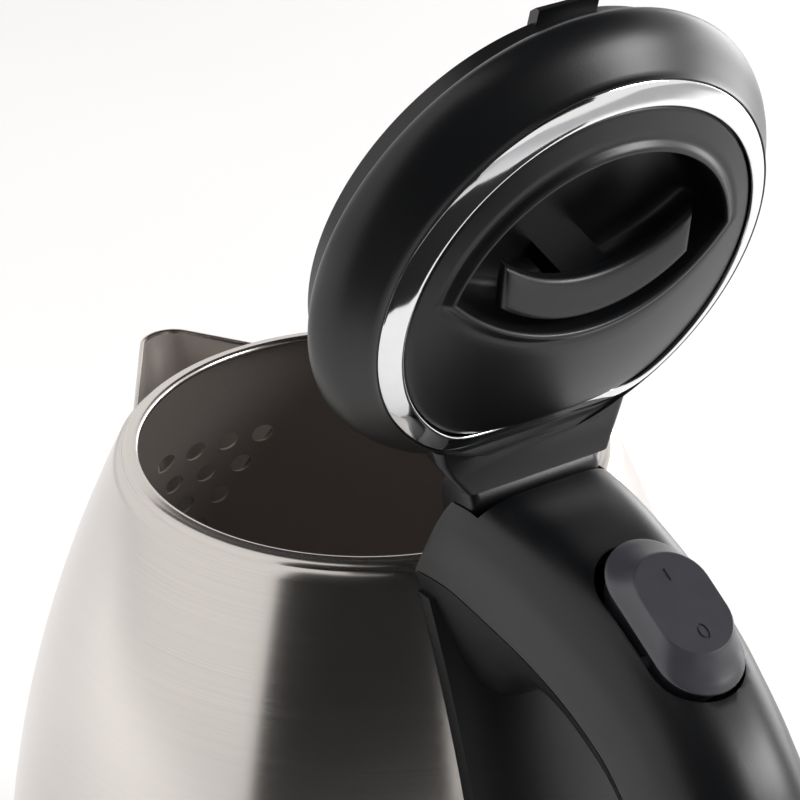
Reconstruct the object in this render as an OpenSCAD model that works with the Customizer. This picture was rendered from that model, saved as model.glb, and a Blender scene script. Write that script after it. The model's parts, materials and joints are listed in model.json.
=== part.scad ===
// Cordless electric kettle: steel jug, hinged lid with a finger latch, D handle with a rocker
// switch, and a 360 degree power base. The lid is drawn open. Millimetres, +Z up, spout to -X,
// handle to +X, origin on the jug's axis at the surface that the base stands on.

/* [Jug] */
// Radius of the filling opening, inside the rolled rim
rim_r = 49; // [46:0.5:52]
// Radial width of the rolled rim
rim_roll = 4; // [3.6:0.1:5]
// Largest outer radius of the steel body
belly_r = 82.5; // [79:0.5:86]
// Depth below the rim at which the body reaches its largest radius
belly_d = 124; // [110:1:140]
// Height of the steel body
body_h = 150; // [145:1:170]
// Sheet thickness of body, spout and floor
steel_t = 0.7; // [0.5:0.1:1]
// Thickness of the rolled rim
rim_t = 1.4; // [1.2:0.1:1.6]
// Height of the floor above the lower edge of the body
floor_up = 12; // [10:0.5:16]

/* [Strainer] */
// Diameter of a strainer hole
hole_d = 5.2; // [4:0.1:6]
// Distance between holes in a row
hole_pitch = 8.9; // [7:0.1:10]
// Distance between rows
row_pitch = 8.4; // [7:0.1:9]
// Depth of the first row below the rim
row_d = 32; // [28:1:36]
// Number of holes in the first row
row_n = 4; // [3:1:4]

/* [Spout] */
// Distance of the spout's nose from the jug's axis
spout_x = 89.4; // [86:0.2:92]
// Radius of the nose, seen from above
nose_r = 7.4; // [6:0.2:9]
// Half angle of the spout's V, in degrees
spout_a = 33.2; // [31:0.2:35]
// Depth of the spout's lip below the rim
lip_d = 12.3; // [11:0.1:13.5]
// Depth at which the spout runs out into the body
spout_h = 68; // [62:1:74]

/* [Power base] */
// Radius of the power base
base_r = 80; // [76:0.5:84]
// Height of the power base's housing
base_h = 16; // [15:0.5:20]
// Wall of the base's mouldings
base_t = 2.2; // [1.8:0.1:2.6]
// Height of the rubber feet
foot_h = 2; // [1:0.25:3]
// Radius of a foot
foot_r = 7; // [5:0.5:9]
// Radius of the circle that the feet stand on
foot_ring = 62; // [55:1:66]
// Radius of the cord outlet's bore
cord_r = 3.6; // [3:0.1:4]
// Radius of the base's connector tower
tower_r = 15.5; // [14:0.5:17]
// Height of the tower above the housing
tower_up = 7.5; // [6:0.5:8]
// Running gap between base and jug
base_gap = 0.3; // [0.2:0.1:0.6]

/* [Bottom collar] */
// Height of the plastic collar below the steel body
collar_under = 8.7; // [8:0.1:12]
// Height by which the collar overlaps the steel body
collar_over = 5; // [3:0.5:8]
// Wall of the collar
collar_t = 1.8; // [1.4:0.1:2.4]

/* [Handle] */
// Half width where the handle lies on the body
hand_w = 22; // [20:0.5:24]
// Half width at the grip
grip_w = 18; // [16:0.5:20]
// Wall of the handle's shells
hand_t = 2.4; // [1.8:0.1:3]
// Gap along the parting line
part_gap = 0.3; // [0.2:0.05:0.5]
// Thickness of the strip that lies on the body
strip_t = 3.8; // [3:0.1:5]
// Radius of the bundle of wires in the grip
loom_r = 2.5; // [1.5:0.1:2.5]
// Number of stations along the handle
hand_n = 34; // [24:1:40]
// Pairs of points round each half section
hand_k = 11; // [8:1:12]

/* [Rocker switch] */
// Distance of the rocker's centre from the jug's axis
rock_x = 107.5; // [105:0.5:110]
// Height of the rocker's pivot against the rim
rock_z = 2.5; // [1:0.5:4]
// Slope of the rocker's top face, in degrees
rock_a = 30; // [28:0.5:32]
// Travel from 0 to I, in degrees
rock_throw = 12; // [8:1:14]
// Length of the rocker
rock_l = 36; // [34:0.5:36.5]
// Width of the rocker
rock_w = 19.4; // [18:0.2:19.6]
// Height of the top face above the pivot
rock_h = 10; // [8:0.5:11]
// Length of the flat top face
rock_top = 19.5; // [17:0.5:21]
// Length of the pocket in the handle
pocket_l = 38; // [37:0.5:40]
// Width of the pocket
pocket_w = 21; // [20:0.5:22]

/* [Lid] */
// Opening angle of the lid, in degrees
lid_open = 106.3; // [90:0.1:110]
// Distance of the hinge pin outside the opening
hinge_out = 6.2; // [5.8:0.1:6.4]
// Height of the hinge pin above the rim
hinge_h = 15.7; // [15:0.1:16.5]
// Gap between the lid's skirt and the rim
lid_gap = 1.5; // [1:0.1:2]
// Depth of the skirt below the rim
skirt_d = 3.1; // [2.8:0.1:3.4]
// Height of the skirt above the rim
band_h = 1.8; // [1.2:0.1:2]
// Reach of the lid's rounded side past the skirt
side_out = 4.5; // [4:0.1:5]
// Distance of the rounded side's straight end from the lid's axis
side_flat = 44.5; // [43.5:0.5:45.5]
// Height of the bright ring's seat above the rim
ring_z = 16.1; // [15.5:0.1:17]
// Radius of the plug under the lid
plug_r = 42; // [38:0.5:42.5]
// Thickness of the liner
liner_t = 1.5; // [1.2:0.1:2]
// Wall of the lid's mouldings
lid_t = 2.2; // [1.8:0.1:2.6]
// Outer radius of the bright ring
ring_r = 44.5; // [44:0.1:45]
// Radial width of the bright ring
ring_w = 4.7; // [4:0.1:5.2]
// Rise of the ring's face
ring_up = 2.5; // [2:0.1:3.5]
// Distance of the ring's straight side from the lid's axis
ring_flat = 39.5; // [38.5:0.5:41]
// Rise of the domed cap above the ring
dome_up = 6.5; // [5:0.1:7.5]
// Half length of the eye-shaped recess
eye_w = 31.8; // [28:0.2:33]
// Reach of the recess towards the spout
eye_out = 31.4; // [28:0.2:32]
// Reach of the recess towards the hinge
eye_in = 6.9; // [6.5:0.1:7.5]
// Distance of the recess's corners from the lid's axis
eye_x = 6; // [4:0.5:8]
// Depth of the recess below the ring's top edge
eye_d = 10; // [9:0.5:11]

/* [Latch] */
// Travel of the latch
latch_travel = 2; // [1.9:0.1:2.2]
// Reach of the tongue past the rim
tongue_bite = 1.6; // [1.4:0.1:1.9]
// Width of the tongue
tongue_w = 14; // [10:0.5:18]
// Thickness of the tongue
tongue_t = 2.4; // [2:0.1:3]
// Mean radius of the latch springs
spring_r = 2; // [1.6:0.1:2.4]
// Length of the latch springs
spring_l = 12; // [10:0.5:14]
// Distance of the grip plate's back edge from the lid's axis
grip_x = 4.4; // [4:0.2:5]
// Radius of the grip plate's back edge
grip_r = 34; // [32:0.5:36]
// Width of the grip plate in the middle
grip_w2 = 8.9; // [8:0.1:9]
// Thickness of the grip plate
grip_t = 3; // [2.5:0.1:3.5]
// Half width of the grip
grip_hw = 22; // [20:0.5:23]
// Depth of the grip plate below the top of the dome
grip_d = 2.8; // [2.4:0.1:3.5]

/* [Hinge and fixings] */
// Radius of the hinge pin
pin_r = 1.8; // [1.5:0.1:2.2]
// Running clearance on pins and pivots
run = 0.05; // [0.03:0.01:0.08]
// Radius of the lid's knuckle
knuckle_r = 6.3; // [5.8:0.1:6.6]
// Half width of the lid's neck at the ring
neck_w = 21; // [18:0.5:21.5]
// Half width of the lid's knuckle
knuckle_w = 14.2; // [12:0.1:14.4]
// Side gap beside the knuckle and the lug
side_gap = 0.5; // [0.4:0.1:0.8]
// Half width of the hinge block's lug
lug_w = 4; // [3:0.1:5]
// Half width of the hinge block's front plate
front_w = 16.8; // [15:0.1:17]
// Shank radius of the screws
screw_r = 1.5; // [1.2:0.1:1.8]
// Head radius of the screws
head_r = 2.8; // [2.4:0.1:3.2]

/* [Heater and control] */
// Radius of the aluminium plate under the floor
plate_r = 56; // [50:1:62]
// Thickness of the aluminium plate
plate_t = 3; // [2:0.2:4]
// Radius of the heating element's loop
loop_r = 42; // [38:1:46]
// Radius of the heating element's tube
tube_r = 3.6; // [3:0.2:4]
// Outer radius of the control unit
ctrl_r = 21; // [20:0.5:24]

/* [Hidden] */
$fn = 96;

shoulder_r = rim_r + rim_roll;
hinge_x = rim_r + hinge_out;

// Levels
base_top = foot_h + base_h;
jug_z = base_top + base_gap;
body_z = jug_z + collar_under;
rim_z = body_z + body_h;
floor_z = body_z + floor_up;
tower_z = base_top + tower_up;
sock_z = tower_z + 2 * base_gap;
tongue_z = -rim_t - 0.3;
liner_z = tongue_z - tongue_t - 0.4;
ring_in = ring_r - ring_w;
cap_z = ring_z + 0.5 + ring_up;
lid_r = rim_r - lid_gap;

// Outer radius of the body at depth d below the rim
function body_r(d) = shoulder_r + (belly_r - shoulder_r) * (let(u = min(1, d / belly_d)) 2 * u - u * u);

// Outline of the body from the shoulder down, moved outwards by g
function body_line(g) = [for (d = [2.5 : 5 : body_h - 2]) [body_r(d) + g, rim_z - d],
    [body_r(body_h) + g, body_z]];

// Solid that the body's outside fills, grown by g
module body_fill(g) rotate_extrude() polygon(concat([[0, rim_z + 0.2]], [[shoulder_r - 1 + g, rim_z + 0.2]],
    body_line(g), [[0, body_z]]));

// Countersunk screw along +Z with its head at z = 0, pointing down by l
module screw(l) {
    translate([0, 0, -l]) cylinder(r = screw_r, h = l);
    cylinder(r = head_r, h = 1.6);
}

// Round tube of k sides and radius r swept along the points p, with the side direction s
module tube(p, r, k, s) {
    n = len(p);
    pts = [for (i = [0 : n - 1]) let(d = p[min(i + 1, n - 1)] - p[max(i - 1, 0)], t = d / norm(d),
        a = cross(t, s) / norm(cross(t, s)), b = cross(a, t)) for (j = [0 : k - 1]) let(f = j * 360 / k)
            p[i] + r * (cos(f) * a + sin(f) * b)];
    polyhedron(pts, concat([[for (j = [k - 1 : -1 : 0]) j]], [[for (j = [0 : k - 1]) (n - 1) * k + j]],
        [for (i = [0 : n - 2], j = [0 : k - 1]) let(m = (j + 1) % k) each [
            [i * k + j, i * k + k + m, i * k + k + j], [i * k + j, i * k + m, i * k + k + m]]]));
}

module ring4(r, n = 4, a0 = 45) for (i = [0 : n - 1]) rotate([0, 0, a0 + i * 360 / n]) translate([r, 0, 0]) children();

// ---- power base ----

module base_housing() color("#17181a") difference() {
    union() {
        difference() {
            rotate_extrude() polygon([[0, base_top], [base_r - 9, base_top], [base_r - 4, base_top - 1.2],
                [base_r - 1, base_top - 4.5], [base_r, base_top - 9], [base_r, foot_h + 1], [base_r - base_t, foot_h + 1],
                [base_r - base_t, base_top - 9], [base_r - base_t - 1.2, base_top - 5], [base_r - 7, base_top - base_t],
                [0, base_top - base_t]]);
            cylinder(r = tower_r + 0.2, h = base_top + 1);
            translate([base_r - 8, 0, foot_h + base_h / 2]) rotate([0, 90, 0]) cylinder(r = cord_r + 1.2, h = 12);
        }
        ring4(foot_ring - 10) translate([0, 0, foot_h + base_t + 0.2]) cylinder(r = 4, h = base_h - 2 * base_t - 0.1);
    }
    ring4(foot_ring - 10) cylinder(r = screw_r, h = foot_h + base_h - base_t - 2);
}

module base_plate() color("#17181a") difference() {
    translate([0, 0, foot_h]) cylinder(r = base_r - base_t - 0.2, h = base_t);
    ring4(foot_ring, a0 = 0) translate([0, 0, -1]) cylinder(r = foot_r + 0.1, h = foot_h + 2);
    ring4(foot_ring - 10) {
        cylinder(r = screw_r + 0.2, h = foot_h + base_t + 1);
        translate([0, 0, foot_h - 1]) cylinder(r = head_r + 0.3, h = 2.4);
    }
    for (i = [-3 : 3]) translate([-20, i * 6 - 1, foot_h - 1]) cube([40, 2, base_t + 2]);
}

module base_feet() color("#222325") ring4(foot_ring, a0 = 0) {
    cylinder(r1 = foot_r - 0.8, r2 = foot_r, h = 0.8);
    translate([0, 0, 0.8]) cylinder(r = foot_r, h = foot_h + 1 - 0.8);
}

module base_screws() color("#9a9c9e") ring4(foot_ring - 10) {
    translate([0, 0, foot_h + 0.1]) cylinder(r = head_r, h = 1.2);
    translate([0, 0, foot_h + 1]) cylinder(r = screw_r - run, h = 9);
}

module base_connector() color("#111214") difference() {
    union() {
        translate([0, 0, foot_h + base_t + 0.1]) cylinder(r = tower_r, h = tower_z - foot_h - base_t - 0.1 - 1);
        translate([0, 0, tower_z - 1]) cylinder(r1 = tower_r, r2 = tower_r - 1, h = 1);
        translate([0, 0, foot_h + base_t + 0.1]) cylinder(r = tower_r + 4, h = base_h - 2 * base_t - 0.3);
    }
    translate([0, 0, base_top - 4]) cylinder(r = 3.4, h = 20);
    for (r = [6, 10.6]) translate([0, 0, base_top - 4]) difference() {
        cylinder(r = r + 2.2, h = 20);
        translate([0, 0, -1]) cylinder(r = r, h = 22);
    }
}

module base_contacts() color("#b08d4a") {
    difference() {
        translate([0, 0, base_top - 4]) cylinder(r = 3.3, h = 5);
        translate([0, 0, base_top - 3]) cylinder(r = 2.6, h = 6);
    }
    for (r = [7.6, 12.2]) translate([0, 0, base_top - 4]) difference() {
        cylinder(r = r + 0.5, h = 4.5);
        translate([0, 0, -1]) cylinder(r = r, h = 8);
    }
}

module cord_gland() color("#111214") translate([base_r - 10, 0, foot_h + base_h / 2]) rotate([0, 90, 0]) difference() {
    union() {
        cylinder(r = cord_r + 1.1, h = 11.5);
        cylinder(r = cord_r + 1.9, h = 3);
    }
    translate([0, 0, -1]) cylinder(r = cord_r, h = 14);
}

// ---- jug ----

module jug_body() color("#b9bbbc") difference() {
    rotate_extrude($fn = 128) polygon(concat(
        [[rim_r + 0.5, rim_z], [rim_r + 2, rim_z + 0.2], [shoulder_r - 1.4, rim_z - 0.2], [shoulder_r - 0.3, rim_z - 1]],
        body_line(0),
        [for (d = [body_h - 2 : -5 : 2.6]) [body_r(d) - steel_t, rim_z - d]],
        [[shoulder_r - steel_t - 0.4, rim_z - rim_t - 0.6], [shoulder_r - 1.6, rim_z - rim_t], [rim_r + 0.7, rim_z - rim_t],
        [rim_r, rim_z - rim_t / 2]]));
    for (i = [0 : row_n - 1]) let(n = row_n - i, d = row_d + i * row_pitch)
        for (j = [0 : n - 1]) rotate([0, 0, 180 + (j - (n - 1) / 2) * hole_pitch / body_r(row_d) * 180 / PI])
            translate([body_r(d) - 6, 0, rim_z - d]) rotate([0, 90, 0]) cylinder(d = hole_d, h = 12, $fn = 32);
    translate([shoulder_r - 4, 0, rim_z - 12]) rotate([0, 90, 0]) cylinder(r = 3.2, h = 14);
}

// Outline of the spout seen from above: a rounded V that widens towards the axis, to half width w at the back
module vee(x, r, w, back) hull() {
    translate([-x + r, 0]) circle(r = r, $fn = 40);
    translate([-back, -w]) square([1, 2 * w]);
}

module spout_core(g) hull() {
    back = rim_r - 4;
    translate([0, 0, rim_z - lip_d]) linear_extrude(0.1) vee(spout_x - g, nose_r - g,
        nose_r / cos(spout_a) + (spout_x - nose_r - back) * tan(spout_a) - g, back);
    translate([0, 0, rim_z - spout_h]) linear_extrude(0.1) vee(body_r(spout_h) + 0.5 - g, 5 - g, 9 - g, 60);
}

module spout() color("#a9abad") difference() {
    spout_core(0);
    translate([0, 0, 0.01]) spout_core(steel_t);
    translate([0, 0, 0.2]) spout_core(steel_t);
    body_fill(0.05);
}

module jug_floor() color("#9fa1a3") rotate_extrude() polygon([[0, floor_z], [body_r(body_h - floor_up) - steel_t - 3, floor_z],
    [body_r(body_h) - steel_t - 0.1, floor_z - 3], [body_r(body_h) - steel_t - 0.1, body_z + 1],
    [body_r(body_h) - 2 * steel_t - 0.1, body_z + 1], [body_r(body_h) - 2 * steel_t - 0.1, floor_z - 3.3],
    [body_r(body_h - floor_up) - steel_t - 3.3, floor_z - steel_t], [0, floor_z - steel_t]]);

module floor_seal() color("#c9c9c4") difference() {
    translate([0, 0, body_z + 0.4]) cylinder(r = body_r(body_h) - 2 * steel_t - 0.3, h = 3);
    translate([0, 0, body_z]) cylinder(r = body_r(body_h) - 2 * steel_t - 3, h = 5);
}

plate_z = floor_z - steel_t - plate_t;
module diffuser_plate() color("#c3c5c7") translate([0, 0, plate_z - 0.05]) cylinder(r = plate_r, h = plate_t);

module heating_element() color("#8e9092") translate([0, 0, plate_z - 0.1 - tube_r]) {
    rotate([0, 0, 25]) rotate_extrude(angle = 310) translate([loop_r, 0]) circle(r = tube_r, $fn = 32);
    for (a = [25, 335]) rotate([0, 0, a]) translate([loop_r, 0, 0]) {
        sphere(r = tube_r, $fn = 32);
        rotate([0, 0, a < 90 ? -90 : 90]) translate([0, 0, 0]) rotate([90, 0, 0]) cylinder(r = tube_r, h = 0.2, $fn = 32);
        translate([0, 0, -6.5]) cylinder(r = 1.6, h = 6.5, $fn = 24);
    }
}

module control_unit() color("#1b1c1e") difference() {
    union() {
        translate([0, 0, jug_z + 0.6]) cylinder(r = ctrl_r, h = plate_z - jug_z - 3.2);
        translate([-ctrl_r - 8, -7, sock_z + 1]) cube([2 * ctrl_r + 16, 14, 3]);
    }
    translate([0, 0, 0]) cylinder(r = tower_r + 0.7, h = sock_z);
    for (s = [-1, 1]) translate([s * (ctrl_r + 4.5), 0, sock_z - 2]) cylinder(r = screw_r + 0.2, h = 8);
}

module control_contacts() color("#b08d4a") translate([0, 0, sock_z - 0.05]) mirror([0, 0, 1]) {
    cylinder(r = 2, h = sock_z - base_top + 1.5);
    for (r = [6.7, 11.3]) difference() {
        cylinder(r = r + 0.6, h = sock_z - base_top - 1);
        translate([0, 0, -1]) cylinder(r = r, h = 20);
    }
}

module thermostat_discs() color("#a7a39a") for (s = [-1, 1]) translate([0, s * 10, plate_z - 2.55]) {
    cylinder(r = 6.4, h = 1.2);
    translate([0, 0, 1.2]) cylinder(r = 4, h = 1.2);
}

module jug_collar() color("#17181a") {
    rb = body_r(body_h) + 0.15;
    difference() {
        rotate_extrude() polygon([[ctrl_r + 0.3, jug_z], [base_r - 4, jug_z], [base_r - 1, jug_z + 1.5],
            [rb + collar_t, jug_z + 6], [rb + collar_t, body_z + collar_over - 1], [rb + collar_t - 1, body_z + collar_over],
            [rb, body_z + collar_over], [rb, body_z - 0.2], [rb - 3, body_z - 0.2], [rb - 3, jug_z + 6],
            [base_r - 5, jug_z + collar_t + 0.6], [ctrl_r + 0.3, jug_z + collar_t + 0.6]]);
        ring4(ctrl_r + 12, 3, 60) translate([0, 0, jug_z - 1]) {
            cylinder(r = head_r + 0.3, h = 2.6);
            cylinder(r = screw_r + 0.2, h = 8);
        }
    }
}

module collar_screws() color("#9a9c9e") ring4(ctrl_r + 12, 3, 60) translate([0, 0, jug_z + 1.5]) mirror([0, 0, 1]) {
    translate([0, 0, -(plate_z - jug_z - 1.6)]) cylinder(r = screw_r - run, h = plate_z - jug_z - 1.7);
    translate([0, 0, -0.1]) cylinder(r = head_r, h = 1.2);
}

// ---- handle ----
// Stations of the handle in the X-Z plane, heights against the rim: top line, parting line
// and inner line, spaced alike
top_pts = [[55.4, 18.6], [63.5, 19.9], [76, 18.6], [89, 15], [101, 10.6], [112, 5], [122, -2], [131.5, -11],
    [139.5, -22.5], [145, -36], [148, -51], [148, -67], [145, -84], [138, -100], [126, -114], [111, -125],
    [96, -133], [84, -138]];
part_pts = [[50, -0.4], [60, 0], [72, -2], [84, -4.6], [94, -8], [103, -12.6], [111, -18.4], [118, -25.5],
    [124, -34.5], [128, -45.5], [129.5, -58], [129, -71], [125.5, -84], [118, -96], [107, -106.5], [96, -115],
    [87, -122.5], [80, -128]];
in_pts = [[57, -26], [66, -27], [75, -20.5], [84, -16], [92, -16.5], [100, -20.8], [107.5, -26.8], [113.5, -34],
    [118, -42.5], [121, -52], [122, -62], [121, -73], [117.5, -84], [110.5, -94], [101, -102], [91.5, -109],
    [84, -116], [78, -121]];

// Catmull-Rom curve through p at t from 0 to 1
function curve(p, t) = let(n = len(p) - 1, s = min(t * n, n - 0.0001), i = floor(s), u = s - i,
    a = p[max(i - 1, 0)], b = p[i], c = p[i + 1], d = p[min(i + 2, n)])
    0.5 * ((2 * b) + (c - a) * u + (2 * a - 5 * b + 4 * c - d) * u * u + (3 * b - a - 3 * c + d) * u * u * u);
function mix(a, b, t) = a + (b - a) * min(1, max(0, t));
// Half width of the handle at t
function half_w(t) = mix(mix(hand_w, grip_w, t / 0.33), hand_w - 2, (t - 0.7) / 0.3);
// Rounded half section: n points from side to side, squareness e
function half_sec(w, h, e, tp) = [for (i = [0 : hand_k * 2]) let(f = i * 90 / hand_k, c = cos(f), s = sin(f),
    y = sign(c) * pow(abs(c), 2 / e), v = pow(abs(s), 2 / e)) [w * y * (1 - tp * v), h * v]];
// One station of a channel with wall g: outer half section, then the inner one back
function station(t, from, to, g, gap) = let(a = curve(from, t), b = curve(to, t), h = norm(b - a), q = (b - a) / h,
    w = half_w(t), e = mix(4.5, 2.7, t / 0.4), tp = mix(0.2, 0.12, t / 0.3),
    o = half_sec(w, h - gap, e, tp), n = half_sec(w - g, h - gap - g, e, tp), m = len(n))
    [for (p = concat(o, [for (i = [m - 1 : -1 : 0]) n[i]]))
        [a[0] + q[0] * (p[1] + gap), p[0], rim_z + a[1] + q[1] * (p[1] + gap)]];
function flat(l) = [for (a = l) for (b = a) b];

// Channel lofted through the stations; flip turns its faces outwards on the inner side
module channel(from, to, g, gap, flip) {
    m = (hand_k * 2 + 1) * 2;
    pts = flat([for (i = [0 : hand_n]) station(i / hand_n, from, to, g, gap)]);
    side = flat([for (i = [0 : hand_n - 1]) flat([for (j = [0 : m - 1]) let(k = (j + 1) % m, a = i * m)
        [[a + j, a + k, a + m + k], [a + j, a + m + k, a + m + j]]])]);
    cap = flat([for (j = [0 : hand_k * 2 - 1]) let(o = j, p = j + 1, q = m - 1 - j, r = m - 2 - j)
        [[o, q, r], [o, r, p]]]);
    last = hand_n * m;
    ends = concat(cap, [for (f = cap) [f[2] + last, f[1] + last, f[0] + last]]);
    all = concat(side, ends);
    polyhedron(pts, flip ? [for (f = all) [f[2], f[1], f[0]]] : all);
}

// Places children at the rocker's pivot, x along the handle and z out of it
module at_rocker(a = 0) translate([rock_x, 0, rim_z + rock_z]) rotate([0, rock_a + a, 0]) children();
module stadium(l, w) hull() for (s = [-1, 1]) translate([s * (l - w) / 2, 0]) circle(d = w, $fn = 40);

module handle_cover() color("#1a1b1d") difference() {
    channel(part_pts, top_pts, hand_t, 0, true);
    at_rocker(-rock_throw / 2) translate([0, 0, -2]) linear_extrude(20) stadium(pocket_l, pocket_w);
    translate([hinge_x, 0, rim_z + hinge_h]) rotate([90, 0, 0]) {
        cylinder(r = knuckle_r + 1.1, h = 2 * (knuckle_w + side_gap), center = true);
        linear_extrude(2 * (knuckle_w + side_gap), center = true) polygon([[0, 0], [knuckle_r + 0.7, -2],
            [knuckle_r + 6, 8], [0, 12]]);
    }
    body_fill(0.2);
    intersection() {
        body_fill(strip_t + 0.3);
        translate([0, -hand_w - 1, body_z]) cube([200, 2 * hand_w + 2, body_h / 2]);
    }
}

module handle_shell() color("#1a1b1d") difference() {
    union() {
        channel(part_pts, in_pts, hand_t, part_gap, false);
        intersection() {
            rotate_extrude($fn = 128) polygon(concat(
                [for (d = [5 : 5 : body_h - 8]) [body_r(d) + 0.1, rim_z - d]],
                [for (d = [body_h - 8 : -5 : 5]) [body_r(d) + strip_t, rim_z - d]]));
            translate([0, -hand_w, body_z]) cube([200, 2 * hand_w, body_h - 4]);
        }
    }
    body_fill(0.2);
    bracket_tab(0.3);
    translate([shoulder_r, 0, rim_z - 12]) rotate([0, 90, 0]) cylinder(r = 4.4, h = 16);
}

module hinge_block() color("#1a1b1d") translate([0, 0, rim_z]) difference() {
    union() {
        rotate([90, 0, 0]) linear_extrude(2 * lug_w, center = true) {
            translate([hinge_x, hinge_h]) circle(r = pin_r + 2.4);
            polygon([[hinge_x - 2.2, hinge_h - 3.6], [hinge_x - 1, 1], [hinge_x + 7, 1], [hinge_x + 2.6, hinge_h - 3.2]]);
        }
        rotate([90, 0, 0]) linear_extrude(2 * front_w, center = true) polygon([[hinge_x - 2.2, 0.6],
            [hinge_x + 0.2, hinge_h - knuckle_r - 2.6], [hinge_x + 2.8, hinge_h - knuckle_r - 2.6], [hinge_x + 0.6, 3],
            [hinge_x + 14, 3], [hinge_x + 14, 0.6]]);
    }
    translate([hinge_x, 0, hinge_h]) rotate([90, 0, 0]) cylinder(r = pin_r + 0.02, h = 60, center = true);
    for (s = [-1, 1]) translate([hinge_x + 8, s * 9.5, -3]) cylinder(r = screw_r + 0.1, h = 9);
}

module hinge_pin() color("#b9bbbc") translate([hinge_x, 0, rim_z + hinge_h]) rotate([90, 0, 0])
    cylinder(r = pin_r, h = 2 * knuckle_w - 1, center = true);

// Tab of the bracket that lies on the body, grown by g
module bracket_tab(g) intersection() {
    difference() {
        body_fill(1.3 + g);
        body_fill(0.05);
    }
    translate([0, -8 - g, rim_z - 27 - g]) cube([200, 16 + 2 * g, 40]);
}

module handle_bracket() color("#a9abad") difference() {
    union() {
        intersection() {
            bracket_tab(0);
            translate([0, -20, rim_z - 30]) cube([200, 40, 30]);
        }
        translate([shoulder_r + 0.2, -14, rim_z - 1]) cube([hinge_x + 13.5 - shoulder_r, 28, 1.4]);
    }
    for (s = [-1, 1]) translate([hinge_x + 8, s * 9.5, rim_z - 5]) cylinder(r = screw_r + 0.1, h = 12);
    translate([shoulder_r, 0, rim_z - 12]) rotate([0, 90, 0]) cylinder(r = 4.4, h = 16);
}

module handle_screws() color("#9a9c9e") for (s = [-1, 1]) translate([hinge_x + 8, s * 9.5, rim_z + 3.1]) {
    translate([0, 0, -6.5]) cylinder(r = screw_r - run, h = 6.6);
    cylinder(r = head_r, h = 1.6);
}

module steam_tube() color("#d8d6cf") difference() {
    translate([shoulder_r + 1, 0, rim_z - 12]) rotate([0, 90, 0]) cylinder(r = 4, h = 20);
    translate([shoulder_r, 0, rim_z - 12]) rotate([0, 90, 0]) cylinder(r = 2.8, h = 40);
    body_fill(0.1);
}

module switch_module() color("#101113") at_rocker(-rock_throw / 2) difference() {
    union() {
        translate([0, 0, -7]) linear_extrude(7.4) stadium(pocket_l - 1, pocket_w - 1);
        translate([-15, -7.5, -16]) cube([30, 15, 9]);
    }
    translate([0, 0, -4]) linear_extrude(20) stadium(rock_l - 2, rock_w - 2.4);
    rotate([90, 0, 0]) cylinder(r = 1.5 + run, h = pocket_w - 1.8, center = true);
}

module wire_loom() color("#2b2c2e") tube([for (i = [0 : 24]) let(t = 0.42 + 0.46 * i / 24,
    a = curve(in_pts, t), b = curve(part_pts, t), c = a + (b - a) / norm(b - a) * (hand_t + loom_r + 0.5))
    [c[0], 0, rim_z + c[1]]], loom_r, 8, [0, 1, 0]);

module rocker_switch() color("#1d1e20") at_rocker() {
    hull() {
        translate([0, 0, rock_h - 0.4]) linear_extrude(0.4) stadium(rock_top, rock_w - 4);
        translate([0, 0, rock_h - 3]) linear_extrude(0.4) stadium(mix(rock_top, rock_l, 0.6), rock_w - 1.4);
        translate([0, 0, rock_h - 7]) linear_extrude(1.6) stadium(rock_l, rock_w);
    }
    translate([0, 0, -1]) linear_extrude(rock_h - 5) stadium(rock_l - 4, rock_w - 3.2);
    rotate([90, 0, 0]) cylinder(r = 1.5, h = pocket_w - 2, center = true, $fn = 48);
}

// ---- lid, drawn closed about the jug's axis with the rim at z = 0, then opened ----

module opened() translate([hinge_x, 0, rim_z + hinge_h]) rotate([0, lid_open, 0]) translate([-hinge_x, 0, -hinge_h]) children();

// Round plate with one straight side towards the hinge
module dee(r, x, h) intersection() {
    cylinder(r = r, h = h);
    translate([-100, -100, -1]) cube([100 + x, 200, h + 2]);
}

// Rounded side of the lid: distance outside the skirt, height above the rim
side_pts = [[side_out - 1.3, 2.4], [side_out - 0.3, 3.4], [side_out, 4.8], [side_out - 0.4, 7], [side_out - 1.6, 9.4],
    [side_out - 3.6, 11.9], [side_out - 5.7, 14.3], [side_out - 7, ring_z - 0.1]];
// Half-space from x towards the spout, open below height z
module spoutward(x, z) union() {
    translate([-100, -100, -50]) cube([100 + x, 200, 100]);
    translate([-100, -100, -50]) cube([200, 200, 50 + z]);
}

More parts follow.
